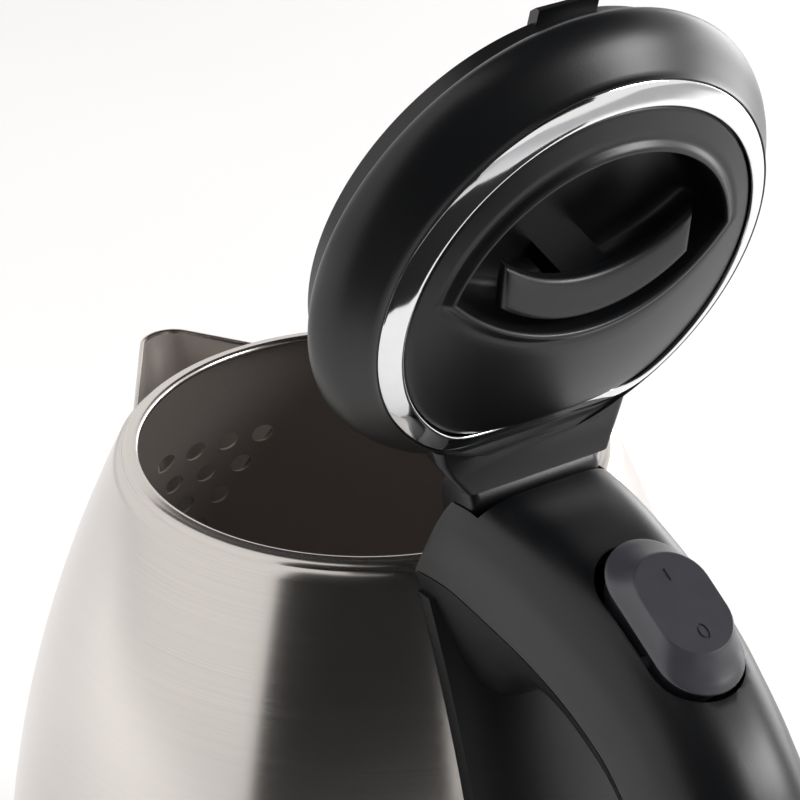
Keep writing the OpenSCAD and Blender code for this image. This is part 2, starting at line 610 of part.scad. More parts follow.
module lid_shell() color("#17181a") opened() difference() {
    union() {
        difference() {
            intersection() {
                rotate_extrude($fn = 128) polygon(concat([[0, -skirt_d], [lid_r, -skirt_d], [lid_r, band_h]],
                    [for (p = side_pts) [lid_r + p[0], p[1]]], [[ring_r + 0.4, ring_z + 0.7], [0, ring_z + 0.7]]));
                spoutward(side_flat, band_h - 0.1);
            }
            intersection() {
                rotate_extrude($fn = 128) polygon(concat([[0, -skirt_d - 1], [lid_r - lid_t, -skirt_d - 1], [lid_r - lid_t, 3.9]],
                    [for (i = [2 : 6]) [lid_r + side_pts[i][0] - lid_t - 0.2, side_pts[i][1] - 0.9]],
                    [[ring_r - 1, ring_z - 2], [ring_in - 2, ring_z - 2], [ring_in - 2, ring_z + 2], [0, ring_z + 2]]));
                spoutward(side_flat - lid_t, 3.8);
            }
        }
        difference() {
            union() {
                hull() {
                    translate([ring_flat - 2, -neck_w, band_h + 0.2]) cube([3, 2 * neck_w, ring_z - band_h - 0.3]);
                    translate([hinge_x - knuckle_r, -knuckle_w - 0.2, hinge_h - knuckle_r]) cube([0.2, 2 * knuckle_w + 0.4, 2 * knuckle_r - 1]);
                }
                hull() {
                    translate([hinge_x - knuckle_r, -knuckle_w - 0.2, hinge_h - knuckle_r]) cube([0.2, 2 * knuckle_w + 0.4, 2 * knuckle_r - 1]);
                    translate([hinge_x, 0, hinge_h]) rotate([90, 0, 0]) cylinder(r = knuckle_r, h = 2 * knuckle_w, center = true, $fn = 48);
                }
            }
            translate([0, 0, -5]) cylinder(r = lid_r - lid_t, h = ring_z + 3);
            translate([hinge_x, 0, hinge_h]) rotate([90, 0, 0]) {
                cylinder(r = pin_r + 2.8, h = 2 * (lug_w + side_gap), center = true);
                linear_extrude(2 * (lug_w + side_gap), center = true) polygon([[-2, 0], [-5.2, -knuckle_r - 4], [12, -knuckle_r - 4],
                    [12, knuckle_r + 3], [5, knuckle_r + 3], [1, 0]]);
            }
        }
    }
    translate([-lid_r - 1, -tongue_w / 2 - 0.4, -skirt_d - 1]) cube([lid_t + 3, tongue_w + 0.8, tongue_z + 0.3 + skirt_d + 1]);
    translate([0, 0, ring_z]) dee(ring_r + 0.1, ring_flat + 0.1, 30);
    translate([hinge_x, 0, hinge_h]) rotate([90, 0, 0]) cylinder(r = pin_r + run, h = 60, center = true);
}

module lid_ring() color("#d5d8db") opened() difference() {
    intersection() {
        rotate_extrude($fn = 128) polygon([[0, ring_z + 0.05], [ring_r, ring_z + 0.05], [ring_r, ring_z + 0.6],
            [ring_in + 0.6, ring_z + 0.5 + ring_up], [0, ring_z + 0.5 + ring_up]]);
        translate([ring_flat - 200, -100, 0]) cube([200, 200, 100]);
        translate([ring_flat, 0, ring_z + 0.6]) rotate([0, -atan2(ring_w - 0.6, ring_up), 0]) translate([-200, -100, -50]) cube([200, 200, 100]);
    }
    translate([0, 0, ring_z - 1]) dee(ring_in, ring_flat - ring_w, 20);
    translate([0, 0, cap_z - 0.5]) intersection() {
        cylinder(r1 = ring_in, r2 = ring_in + 0.4, h = 0.8);
        translate([-100, -100, -1]) cube([100 + ring_flat - ring_w + 0.4, 200, 3]);
    }
}

// Eye outline, grown by g; the pointed ends lie along Y
module eye(g) {
    ho = eye_out - eye_x;
    hi = eye_in + eye_x;
    ro = (eye_w * eye_w + ho * ho) / (2 * ho);
    ri = (eye_w * eye_w + hi * hi) / (2 * hi);
    intersection() {
        translate([-eye_out + ro, 0]) circle(r = ro + g);
        translate([eye_in - ri, 0]) circle(r = ri + g);
    }
}

dome_r = (ring_in * ring_in + dome_up * dome_up) / (2 * dome_up);
eye_z = cap_z - eye_d;
module lid_cap() color("#1a1b1d") opened() difference() {
    union() {
        difference() {
            intersection() {
                translate([0, 0, ring_z + 0.05]) dee(ring_in - 0.1, ring_flat - ring_w - 0.1, 20);
                translate([0, 0, cap_z - 0.6 + dome_up - dome_r]) sphere(r = dome_r, $fn = 128);
            }
            intersection() {
                translate([0, 0, ring_z - 1]) dee(ring_in - lid_t, ring_flat - ring_w - lid_t, 20);
                translate([0, 0, cap_z - 0.6 + dome_up - dome_r]) sphere(r = dome_r - lid_t, $fn = 128);
            }
        }
        intersection() {
            translate([0, 0, eye_z - lid_t]) linear_extrude(30) eye(lid_t);
            translate([0, 0, cap_z - 0.6 + dome_up - dome_r]) sphere(r = dome_r - 0.1, $fn = 128);
        }
        ring4(30, 3, 0) translate([0, 0, liner_z + 0.2]) cylinder(r = screw_r + 1.8, h = eye_z - lid_t - liner_z);
        translate([30, 0, liner_z + 0.2]) cylinder(r = screw_r + 1.8, h = ring_z + 2 - liner_z);
    }
    translate([0, 0, eye_z]) linear_extrude(30) eye(0);
    translate([-4.2, -6.2, eye_z - 10]) cube([5.4 + latch_travel, 12.4, 12]);
    ring4(30, 3, 0) translate([0, 0, liner_z]) cylinder(r = screw_r, h = 8);
}

module lid_liner() color("#26272a") opened() {
    translate([-7 + spring_l, -7, liner_z - 0.1]) cube([2, 14, 6.1]);
    difference() {
        rotate_extrude() polygon([[0, liner_z - liner_t], [plug_r - 1.5, liner_z - liner_t], [plug_r, liner_z - liner_t + 1.5],
            [plug_r, -skirt_d + 0.4], [lid_r - lid_t - 0.3, -skirt_d + 0.4], [lid_r - lid_t - 0.3, -skirt_d + 2.2],
            [plug_r - liner_t, -skirt_d + 2.2], [plug_r - liner_t, liner_z], [0, liner_z]]);
        translate([-80, -tongue_w / 2 - 0.4, liner_z + 0.01]) cube([60, tongue_w + 0.8, 20]);
        ring4(30, 3, 0) translate([0, 0, liner_z - 10]) cylinder(r = screw_r + 0.2, h = 20);
    }
}

module lid_screws() color("#9a9c9e") opened() ring4(30, 3, 0) translate([0, 0, liner_z - liner_t - 0.1]) mirror([0, 0, 1]) {
    cylinder(r = head_r, h = 1.2);
    translate([0, 0, -7]) cylinder(r = screw_r - run, h = 7);
}

module latch_springs() color("#a7a39a") opened() for (s = [-1, 1])
    translate([-7, s * 4, liner_z + spring_r + 0.5]) tube([for (i = [0 : 60])
        [i * (spring_l - 0.4) / 60, spring_r * cos(i * 36), spring_r * sin(i * 36)]], 0.35, 6, [1, 0, 0]);

module latch_lever() color("#222325") opened() {
    grip_z = cap_z - 0.6 + dome_up - grip_d;
    intersection() {
        difference() {
            translate([grip_w2 - grip_x - grip_r - 2, 0, 0]) cylinder(r = grip_r + 2, h = 60);
            translate([-grip_x - grip_r, 0, -1]) cylinder(r = grip_r, h = 62);
        }
        translate([-grip_x, -grip_hw, grip_z]) rotate([0, -9, 0]) translate([-20, 0, -grip_t]) cube([40, 2 * grip_hw, grip_t]);
    }
    translate([-3.5, -5.5, 0.9]) cube([4, 11, grip_z - grip_t + 0.5]);
    translate([-15.4, -5.5, 0.9]) cube([14, 11, 2.6]);
    translate([-15.4, -5.5, tongue_z + 0.05]) cube([6, 11, 5.4]);
}

module latch_tongue() color("#222325") opened() difference() {
    translate([-rim_r - tongue_bite, -tongue_w / 2, tongue_z - tongue_t]) cube([rim_r + tongue_bite - 7.4, tongue_w, tongue_t]);
    translate([-rim_r - tongue_bite, -tongue_w / 2 - 1, tongue_z - tongue_t + 1.4]) rotate([0, 40, 0])
        translate([-10, 0, -20]) cube([20, tongue_w + 2, 20]);
}

base_housing();
base_plate();
base_feet();
base_screws();
base_connector();
base_contacts();
cord_gland();
jug_body();
spout();
jug_floor();
diffuser_plate();
heating_element();
floor_seal();
control_unit();
control_contacts();
thermostat_discs();
jug_collar();
collar_screws();
handle_cover();
handle_shell();
hinge_block();
hinge_pin();
handle_bracket();
handle_screws();
steam_tube();
switch_module();
wire_loom();
rocker_switch();
lid_shell();
lid_ring();
lid_cap();
lid_liner();
lid_screws();
latch_springs();
latch_lever();
latch_tongue();
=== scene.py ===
import json
import math

import bmesh
import bpy
from mathutils import Matrix, Vector


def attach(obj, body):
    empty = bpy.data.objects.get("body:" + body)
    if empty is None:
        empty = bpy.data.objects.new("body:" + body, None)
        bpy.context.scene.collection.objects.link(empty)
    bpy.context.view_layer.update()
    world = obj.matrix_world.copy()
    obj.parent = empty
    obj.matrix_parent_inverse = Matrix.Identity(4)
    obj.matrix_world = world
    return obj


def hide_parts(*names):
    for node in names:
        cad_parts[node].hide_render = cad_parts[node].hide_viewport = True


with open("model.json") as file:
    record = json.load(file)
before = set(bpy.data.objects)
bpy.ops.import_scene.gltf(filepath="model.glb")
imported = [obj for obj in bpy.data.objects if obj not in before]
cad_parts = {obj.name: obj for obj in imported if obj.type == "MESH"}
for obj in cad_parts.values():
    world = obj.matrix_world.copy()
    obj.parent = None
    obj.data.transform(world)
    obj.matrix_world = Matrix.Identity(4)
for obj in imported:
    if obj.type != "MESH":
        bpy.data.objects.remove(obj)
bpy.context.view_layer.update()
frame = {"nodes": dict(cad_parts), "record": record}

MM = 0.001
RIM_Z = 177

# ---- camera ----
# A long lens a little above the open jug, looking down past the rim towards the spout.
# It stands on the side of the handle, at the height of a person at the worktop.
CAMERA_AT = (0.54881, -0.36370, 0.54037)
LOOK = Vector((-0.728925, 0.494161, -0.473787))
RIGHT = Vector((0.562245, 0.826967, -0.002490))
FOCAL_PX = 3515.9
FRAME_PX = 800

camera = bpy.data.objects.new("camera", bpy.data.cameras.new("camera"))
bpy.context.collection.objects.link(camera)
camera.data.sensor_width = 36
camera.data.lens = 36 * FOCAL_PX / FRAME_PX
up = RIGHT.cross(LOOK)
camera.matrix_world = Matrix.Translation(CAMERA_AT) @ Matrix(
    (
        (RIGHT.x, up.x, -LOOK.x),
        (RIGHT.y, up.y, -LOOK.y),
        (RIGHT.z, up.z, -LOOK.z),
    )
).to_4x4()
bpy.context.scene.camera = camera
bpy.context.scene.view_settings.view_transform = "Standard"


# ---- studio ----
# A white table top under a white world, lit by four softboxes. Black cards that only
# reflections see draw the steel's dark band and keep the black plastic dark.
def linear(code):
    """A colour written as sRGB hex, turned to linear RGBA."""
    parts = [int(code[i : i + 2], 16) / 255 for i in (1, 3, 5)]
    return tuple(p / 12.92 if p < 0.04045 else ((p + 0.055) / 1.055) ** 2.4 for p in parts) + (1,)


def add(tree, kind, settings=None, links=None):
    """One node, with its settings, and its inputs given as values or as outputs to link."""
    made = tree.nodes.new(kind)
    for name, value in (settings or {}).items():
        setattr(made, name, value)
    for name, value in (links or {}).items():
        socket = made.inputs[name]
        if isinstance(value, bpy.types.NodeSocket):
            tree.links.new(value, socket)
        else:
            socket.default_value = value
    return made


def new_material(name):
    """An empty material, with all its nodes cleared."""
    made = bpy.data.materials.new(name)
    made.use_nodes = True
    made.node_tree.nodes.clear()
    return made, made.node_tree


def seen_directly(tree):
    """1 for rays from the camera, a reflection or a clear piece, and 0 for all others."""
    path = add(tree, "ShaderNodeLightPath")
    most = path.outputs["Is Camera Ray"]
    for kind in ("Is Glossy Ray", "Is Transmission Ray"):
        either = add(tree, "ShaderNodeMath", {"operation": "MAXIMUM"}, {0: most, 1: path.outputs[kind]})
        most = either.outputs[0]
    return most


WHITE = "#fcf9f7"
PAPER_GLOW = 0.04
paper, tree = new_material("matt_white_paper")
coords = add(tree, "ShaderNodeTexCoord")
mottle = add(tree, "ShaderNodeTexNoise", None, {"Vector": coords.outputs["Object"], "Scale": 3.0})
tone = add(tree, "ShaderNodeValToRGB", None, {"Fac": mottle.outputs["Fac"]})
tone.color_ramp.elements[0].color = linear("#f1eeec")
tone.color_ramp.elements[1].color = linear("#f7f4f2")
shader = add(tree, "ShaderNodeBsdfPrincipled", None, {"Base Color": tone.outputs["Color"], "Roughness": 0.8})
looked = add(tree, "ShaderNodeMath", {"operation": "MULTIPLY"}, {0: seen_directly(tree), 1: PAPER_GLOW})
glow = add(tree, "ShaderNodeEmission", None, {"Color": linear(WHITE), "Strength": looked.outputs[0]})
both = add(tree, "ShaderNodeAddShader", None, {0: shader.outputs["BSDF"], 1: glow.outputs["Emission"]})
add(tree, "ShaderNodeOutputMaterial", None, {"Surface": both.outputs["Shader"]})

bpy.ops.object.select_all(action="DESELECT")
bpy.ops.mesh.primitive_plane_add(size=6, location=(0, 0, 0))
table = bpy.context.object
table.name = "table_top"
table.data.materials.append(paper)

world = bpy.data.worlds.new("white_studio")
bpy.context.scene.world = world
world.use_nodes = True
tree = world.node_tree
tree.nodes.clear()
backdrop = add(tree, "ShaderNodeBackground", None, {"Color": linear(WHITE), "Strength": 1.0})
fill = add(tree, "ShaderNodeBackground", None, {"Color": linear("#eceef2"), "Strength": 0.5})
mixed = add(
    tree, "ShaderNodeMixShader", None,
    {0: seen_directly(tree), 1: fill.outputs["Background"], 2: backdrop.outputs["Background"]},
)
add(tree, "ShaderNodeOutputWorld", None, {"Surface": mixed.outputs["Shader"]})


def softbox(name, place, target, size, watts):
    """An area lamp at a place, facing a target, all in metres."""
    lamp = bpy.data.objects.new(name, bpy.data.lights.new(name, "AREA"))
    bpy.context.collection.objects.link(lamp)
    lamp.data.shape = "RECTANGLE"
    lamp.data.size, lamp.data.size_y = size
    lamp.data.energy = watts
    lamp.location = place
    lamp.rotation_euler = (Vector(target) - Vector(place)).to_track_quat("-Z", "Y").to_euler()
    return lamp


left = softbox("softbox_left", (-0.7, -1.1, 0.6), (0, 0, 0.15), (1.2, 0.9), 12)
left.visible_glossy = False
softbox("softbox_right", (0.875, 0.861, 0.79), (0.05, 0, 0.2), (0.5, 0.4), 9)
softbox("softbox_back", (-0.25, 1.35, 0.3), (0, 0, 0.2), (1.2, 0.6), 9)
overhead = softbox("softbox_top", (0.0, 0.2, 1.6), (0, 0.1, 0), (1.6, 1.6), 7)
overhead.visible_glossy = False

card_paint, tree = new_material("black_felt_card")
coords = add(tree, "ShaderNodeTexCoord")
fibre = add(tree, "ShaderNodeTexNoise", None, {"Vector": coords.outputs["Object"], "Scale": 40.0})
tone = add(tree, "ShaderNodeValToRGB", None, {"Fac": fibre.outputs["Fac"]})
tone.color_ramp.elements[0].color = linear("#060606")
tone.color_ramp.elements[1].color = linear("#0b0b0b")
shader = add(tree, "ShaderNodeBsdfPrincipled", None, {"Base Color": tone.outputs["Color"], "Roughness": 0.9})
add(tree, "ShaderNodeOutputMaterial", None, {"Surface": shader.outputs["BSDF"]})


def card(name, corners):
    """A black card with its corners in metres, seen only by reflections."""
    bpy.ops.object.select_all(action="DESELECT")
    bpy.ops.mesh.primitive_circle_add(vertices=len(corners), radius=1, fill_type="NGON")
    made = bpy.context.object
    made.name = name
    for vert, corner in zip(made.data.vertices, corners):
        vert.co = corner
    made.data.materials.append(card_paint)
    made.visible_camera = False
    made.visible_shadow = False
    made.visible_diffuse = False


def spot(azimuth, away, height):
    """A point round the kettle, from its direction in degrees and its distance and height."""
    a = math.radians(azimuth)
    return (away * math.cos(a), away * math.sin(a), height)


FAR, HIGH, ON_TABLE = 1.5, 2.4, 0.002
card("black_card", [spot(-71, FAR, 0.0), spot(-71, FAR, HIGH), spot(-8, FAR, HIGH), spot(-8, FAR, 0.0)])
SHEET_EDGE = [(-71, 0.36), (-71, FAR), (24, FAR), (20, 0.42), (-4, 0.35), (-30, 0.31)]
card("black_table_sheet", [spot(azimuth, away, ON_TABLE) for azimuth, away in SHEET_EDGE])
card("black_side_card", [spot(-8, FAR, 0.32), spot(-8, FAR, HIGH), spot(24, FAR, HIGH), spot(24, FAR, 0.32)])
card("black_ceiling", [(-1.6, -0.3, FAR), (1.6, -0.3, FAR), (1.6, 1.7, FAR), (-1.6, 1.7, FAR)])


# ---- steel jug ----
# The body is one sheet of stainless steel, spun to its taper, with a rolled rim. It is
# brushed round the outside, satin and darker inside, and punched for the strainer.
def begin(name):
    """One new vertex in edit mode, with nothing else selected."""
    bpy.ops.object.select_all(action="DESELECT")
    bpy.ops.mesh.primitive_plane_add(size=MM)
    made = bpy.context.object
    made.name = name
    made.data.name = name
    bpy.ops.object.mode_set(mode="EDIT")
    bpy.ops.mesh.select_all(action="SELECT")
    bpy.ops.mesh.merge(type="CENTER")
    return made


def turned(name, profile, steps=160, base=RIM_Z):
    """A piece turned on the jug's axis from its profile of (radius, height) in mm."""
    made = begin(name)
    r, z = profile[0]
    bpy.ops.transform.translate(value=(r * MM, 0, (base + z) * MM))
    for (r0, z0), (r1, z1) in zip(profile, profile[1:]):
        step = ((r1 - r0) * MM, 0, (z1 - z0) * MM)
        bpy.ops.mesh.extrude_region_move(TRANSFORM_OT_translate={"value": step})
    bpy.ops.mesh.select_all(action="SELECT")
    bpy.ops.mesh.spin(steps=steps, angle=math.tau, center=(0, 0, 0), axis=(0, 0, 1))
    bpy.ops.mesh.select_all(action="SELECT")
    bpy.ops.mesh.remove_doubles(threshold=0.01 * MM)
    bpy.ops.mesh.normals_make_consistent(inside=False)
    bpy.ops.object.mode_set(mode="OBJECT")
    return made


def smooth(piece, degrees=30):
    """Smooth shading up to an angle between faces."""
    bpy.ops.object.select_all(action="DESELECT")
    piece.select_set(True)
    bpy.context.view_layer.objects.active = piece
    bpy.ops.object.shade_smooth_by_angle(angle=math.radians(degrees))


def apply(piece, kind, **settings):
    """A modifier, set and applied at once."""
    bpy.ops.object.select_all(action="DESELECT")
    piece.select_set(True)
    bpy.context.view_layer.objects.active = piece
    mod = piece.modifiers.new(kind.lower(), kind)
    for name, value in settings.items():
        setattr(mod, name, value)
    bpy.ops.object.modifier_apply(modifier=mod.name)


def cut(piece, tool, how="DIFFERENCE"):
    """Cuts a piece with a tool, or joins them, and throws the tool away."""
    apply(piece, "BOOLEAN", operation=how, solver="EXACT", object=tool)
    bpy.data.objects.remove(tool, do_unlink=True)


def rod(radius, length, location, rotation=(0, 0, 0)):
    """A round bar of a radius and length in mm, with its middle at a place in metres."""
    bpy.ops.object.select_all(action="DESELECT")
    bpy.ops.mesh.primitive_cylinder_add(
        vertices=40, radius=radius * MM, depth=length * MM, location=location, rotation=rotation
    )
    bpy.ops.object.transform_apply(location=True, rotation=True, scale=True)
    return bpy.context.object


def punch(name, places, radius, length):
    """Round cutters that point at the axis, each (angle, distance, height) in degrees and mm."""
    made = []
    for angle, away, height in places:
        a = math.radians(angle)
        at = (away * MM * math.cos(a), away * MM * math.sin(a), height * MM)
        made.append(rod(radius, length, at, (0, math.pi / 2, a)))
    for one in made:
        one.select_set(True)
    bpy.context.view_layer.objects.active = made[0]
    if len(made) > 1:
        bpy.ops.object.join()
    made[0].name = name
    return made[0]


NECK_R, BELLY_GAIN, BELLY_DEPTH = 53, 29.5, 124


def body_r(d):
    """Outer radius of the steel body at depth d below the rim."""
    u = min(1, max(0, d) / BELLY_DEPTH)
    return NECK_R + BELLY_GAIN * (2 * u - u * u)


WALL = 0.7
STRAINER_TOP, ROW_PITCH, HOLE_PITCH, HOLE_R = 32, 8.4, 8.9, 2.6
depths = [2.2, 4, 6, 9] + [12 + 6 * i for i in range(23)] + [150]
outside = [(body_r(d), -d) for d in depths]
inside = [(body_r(d) - WALL, -d) for d in reversed(depths)]
rim = [
    (49.5, -1.4), (49.1, -1.1), (49.0, -0.7), (49.1, -0.25), (49.4, 0.05), (49.8, 0.2), (50.15, 0.2),
    (50.45, 0.08), (51.2, -0.02), (51.9, -0.16), (52.4, -0.45), (52.8, -0.95), (53.0, -1.5),
]
lower_rim = [(52.1, -2.6), (51.6, -1.9), (51.0, -1.6), (50.2, -1.45)]
jug = turned("steel_jug", rim + outside + inside + lower_rim + rim[:1], 192)
strainer = []
for row in range(4):
    count = 4 - row
    d = STRAINER_TOP + ROW_PITCH * row
    for j in range(count):
        turn = 180 + math.degrees((j - (count - 1) / 2) * HOLE_PITCH / body_r(STRAINER_TOP))
        strainer.append((turn, body_r(d), RIM_Z - d))
cut(jug, punch("strainer_punch", strainer, HOLE_R, 12))
cut(jug, punch("steam_punch", [(0, 56, RIM_Z - 12)], 3.2, 14))
smooth(jug, 35)

brushed, tree = new_material("brushed_stainless_steel")
# Circumferential brushing: lines a few hundredths of a millimetre high, drawn coarser so
# that they show, blur what the wall mirrors up and down but hardly sideways.
coords = add(tree, "ShaderNodeTexCoord")
spread = add(
    tree, "ShaderNodeMapping", None, {"Vector": coords.outputs["Object"], "Scale": (9.0, 9.0, 7000.0)}
)
lines = add(
    tree, "ShaderNodeTexNoise", None,
    {"Vector": spread.outputs["Vector"], "Scale": 1.0, "Detail": 4.0, "Roughness": 0.7},
)
tone = add(tree, "ShaderNodeValToRGB", None, {"Fac": lines.outputs["Fac"]})
tone.color_ramp.elements[0].position = 0.25
tone.color_ramp.elements[0].color = linear("#cdc9c5")
tone.color_ramp.elements[1].position = 0.75
tone.color_ramp.elements[1].color = linear("#d8d4d0")
rough = add(
    tree, "ShaderNodeMapRange", None,
    {"Value": lines.outputs["Fac"], "From Min": 0.3, "From Max": 0.7, "To Min": 0.18, "To Max": 0.24},
)
around = add(tree, "ShaderNodeTangent", {"direction_type": "RADIAL", "axis": "Z"})
shader = add(
    tree, "ShaderNodeBsdfPrincipled", None,
    {
        "Base Color": tone.outputs["Color"], "Metallic": 1.0, "Roughness": rough.outputs["Result"],
        "Anisotropic": 0.7, "Anisotropic Rotation": 0.25,
        "Tangent": around.outputs["Tangent"],
    },
)
add(tree, "ShaderNodeOutputMaterial", None, {"Surface": shader.outputs["BSDF"]})


def mottled(name, noise, dark, light, rough, shine=None):
    """A finish whose tone and gloss drift together over one fine noise."""
    made, tree = new_material(name)
    coords = add(tree, "ShaderNodeTexCoord")
    cloud = add(tree, "ShaderNodeTexNoise", None, {"Vector": coords.outputs["Object"], **noise})
    tone = add(tree, "ShaderNodeValToRGB", None, {"Fac": cloud.outputs["Fac"]})
    tone.color_ramp.elements[0].color = linear(dark)
    tone.color_ramp.elements[1].color = linear(light)
    least, most = rough
    haze = add(
        tree, "ShaderNodeMapRange", None, {"Value": cloud.outputs["Fac"], "To Min": least, "To Max": most}
    )
    shader = add(
        tree, "ShaderNodeBsdfPrincipled", None,
        {"Base Color": tone.outputs["Color"], "Roughness": haze.outputs["Result"], **(shine or {})},
    )
    add(tree, "ShaderNodeOutputMaterial", None, {"Surface": shader.outputs["BSDF"]})
    return made


# The inside is left as it was rolled and drawn: a dull, even, brownish grey.
satin = mottled(
    "satin_stainless_steel", {"Scale": 900.0, "Detail": 3.0}, "#a8a09a", "#b5ada7", (0.42, 0.54),
    {"Metallic": 0.55},
)

jug.data.materials.append(brushed)
jug.data.materials.append(satin)
for face in jug.data.polygons:
    middle = Vector((face.center.x, face.center.y, 0))
    if face.normal.dot(middle) < 0 and face.center.z < (RIM_Z - 1.2) * MM:
        face.material_index = 1
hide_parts("jug_body")
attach(jug, "jug")


# ---- spout ----
# A pressed steel V with a level lip, welded over the strainer, its edge turned over.
def loft(name, outlines, first_end=True, last_end=True):
    """A skin drawn from one closed outline, in mm, to the next by extruding it."""
    bpy.ops.object.select_all(action="DESELECT")
    bpy.ops.mesh.primitive_circle_add(vertices=len(outlines[0]), radius=MM)
    made = bpy.context.object
    made.name = name
    made.data.name = name
    bpy.ops.object.mode_set(mode="EDIT")
    shape = bmesh.from_edit_mesh(made.data)
    shape.verts.ensure_lookup_table()
    ring = list(range(len(outlines[0])))
    for index, point in zip(ring, outlines[0]):
        shape.verts[index].co = Vector(point) * MM
    start = ring
    for outline in outlines[1:]:
        bpy.ops.mesh.extrude_region_move()
        shape = bmesh.from_edit_mesh(made.data)
        shape.verts.ensure_lookup_table()
        following = []
        for index, point in zip(ring, outline):
            vert = shape.verts[index]
            fresh = next(o for o in (e.other_vert(vert) for e in vert.link_edges) if o.select)
            fresh.co = Vector(point) * MM
            following.append(fresh.index)
        ring = following
    for wanted, end in ((first_end, start), (last_end, ring)):
        if wanted:
            bpy.ops.mesh.select_all(action="DESELECT")
            shape = bmesh.from_edit_mesh(made.data)
            shape.verts.ensure_lookup_table()
            for index in end:
                shape.verts[index].select_set(True)
            shape.select_flush(True)
            bpy.ops.mesh.edge_face_add()
    bpy.ops.mesh.select_all(action="SELECT")
    bpy.ops.mesh.remove_doubles(threshold=0.003 * MM)
    bpy.ops.mesh.normals_make_consistent(inside=False)
    bpy.ops.object.mode_set(mode="OBJECT")
    return made


NOSE_STEPS = 14


def vee(nose_x, r, w, back, z, grow):
    """A rounded V seen from above, from one end at the back round its nose to the other."""
    r = max(0.4, r + grow)
    w = w + grow
    run = nose_x + grow - r - back
    reach = math.hypot(run, w)
    lean = math.atan2(w, run) - math.asin(r / reach)
    points = [(-back, -w, z)]
    cx = -(nose_x + grow) + r
    for i in range(NOSE_STEPS + 1):
        a = -(math.pi / 2 - lean) + (math.pi - 2 * lean) * i / NOSE_STEPS
        points.append((cx - r * math.cos(a), r * math.sin(a), z))
    points.append((-back, w, z))
    return points


LIP, FOOT_DEPTH = 12.3, 68
NOSE_X, NOSE_R, LIP_BACK, HALF_ANGLE = 89.4, 7.4, 45, math.radians(33.2)


def spout_outline(depth, grow=0.0):
    """The spout's outline at a depth below the rim, between its lip and its foot."""
    t = (depth - LIP) / (FOOT_DEPTH - LIP)
    lip_half = NOSE_R / math.cos(HALF_ANGLE) + (NOSE_X - NOSE_R - LIP_BACK) * math.tan(HALF_ANGLE)
    top = (NOSE_X, NOSE_R, lip_half, LIP_BACK)
    foot = (body_r(FOOT_DEPTH) + 0.5, 5, 9, 60)
    nose_x, r, w, back = (a + (b - a) * t for a, b in zip(top, foot))
    return vee(nose_x, r, w, back, RIM_Z - depth, grow)


levels = [LIP + (FOOT_DEPTH - LIP) * (i / 12) for i in range(13)]
rolled_lip = [(12.3, -0.85), (12.15, -0.6), (12.1, -0.3), (12.2, 0.0), (12.5, 0.12), (13.0, 0.1), (13.3, 0.0)]
skins = [spout_outline(d, grow) for d, grow in rolled_lip]
skins += [spout_outline(d) for d in levels[1:]]
skins += [spout_outline(d, -WALL) for d in reversed(levels[1:-1])]
skins += [spout_outline(13.0, -WALL), spout_outline(12.3, -0.85)]
spout = loft("pouring_spout", skins, False, False)
body_side = [(body_r(d) + 0.03, -d) for d in depths[:-1]]
cut(spout, turned("spout_trim", [(0, 2), (52, 2)] + body_side + [(0, -144)], 128))
smooth(spout, 40)
spout.data.materials.append(brushed)
spout.data.materials.append(satin)
for face in spout.data.polygons:
    middle = face.center - Vector((-0.07, 0, face.center.z))
    if face.normal.dot(middle) < 0 and face.center.z < (RIM_Z - 13.2) * MM:
        face.material_index = 1
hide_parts("spout")
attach(spout, "jug")

# ---- bottom collar and power base ----
# Two injection-moulded rings of black plastic with soft edges and a fine grain: the collar
# is screwed under the steel body, and the base's housing snaps over its plate.
black, tree = new_material("satin_black_polypropylene")
# Spark-eroded mould grain of a third of a millimetre, drawn a little coarser so that it shows.
coords = add(tree, "ShaderNodeTexCoord")
grain = add(
    tree, "ShaderNodeTexNoise", None,
    {"Vector": coords.outputs["Object"], "Scale": 4500.0, "Detail": 2.0, "Roughness": 0.6},
)
cloud = add(tree, "ShaderNodeTexNoise", None, {"Vector": coords.outputs["Object"], "Scale": 35.0})
tone = add(tree, "ShaderNodeValToRGB", None, {"Fac": grain.outputs["Fac"]})
tone.color_ramp.elements[0].position = 0.3
tone.color_ramp.elements[0].color = linear("#0b0c0e")
tone.color_ramp.elements[1].position = 0.7
tone.color_ramp.elements[1].color = linear("#121315")
rough = add(
    tree, "ShaderNodeMapRange", None, {"Value": cloud.outputs["Fac"], "To Min": 0.3, "To Max": 0.36}
)
bump = add(
    tree, "ShaderNodeBump", None,
    {"Height": grain.outputs["Fac"], "Strength": 0.2, "Distance": 0.00008},
)
shader = add(
    tree, "ShaderNodeBsdfPrincipled", None,
    {
        "Base Color": tone.outputs["Color"], "Roughness": rough.outputs["Result"],
        "Normal": bump.outputs["Normal"], "IOR": 1.5,
    },
)
add(tree, "ShaderNodeOutputMaterial", None, {"Surface": shader.outputs["BSDF"]})

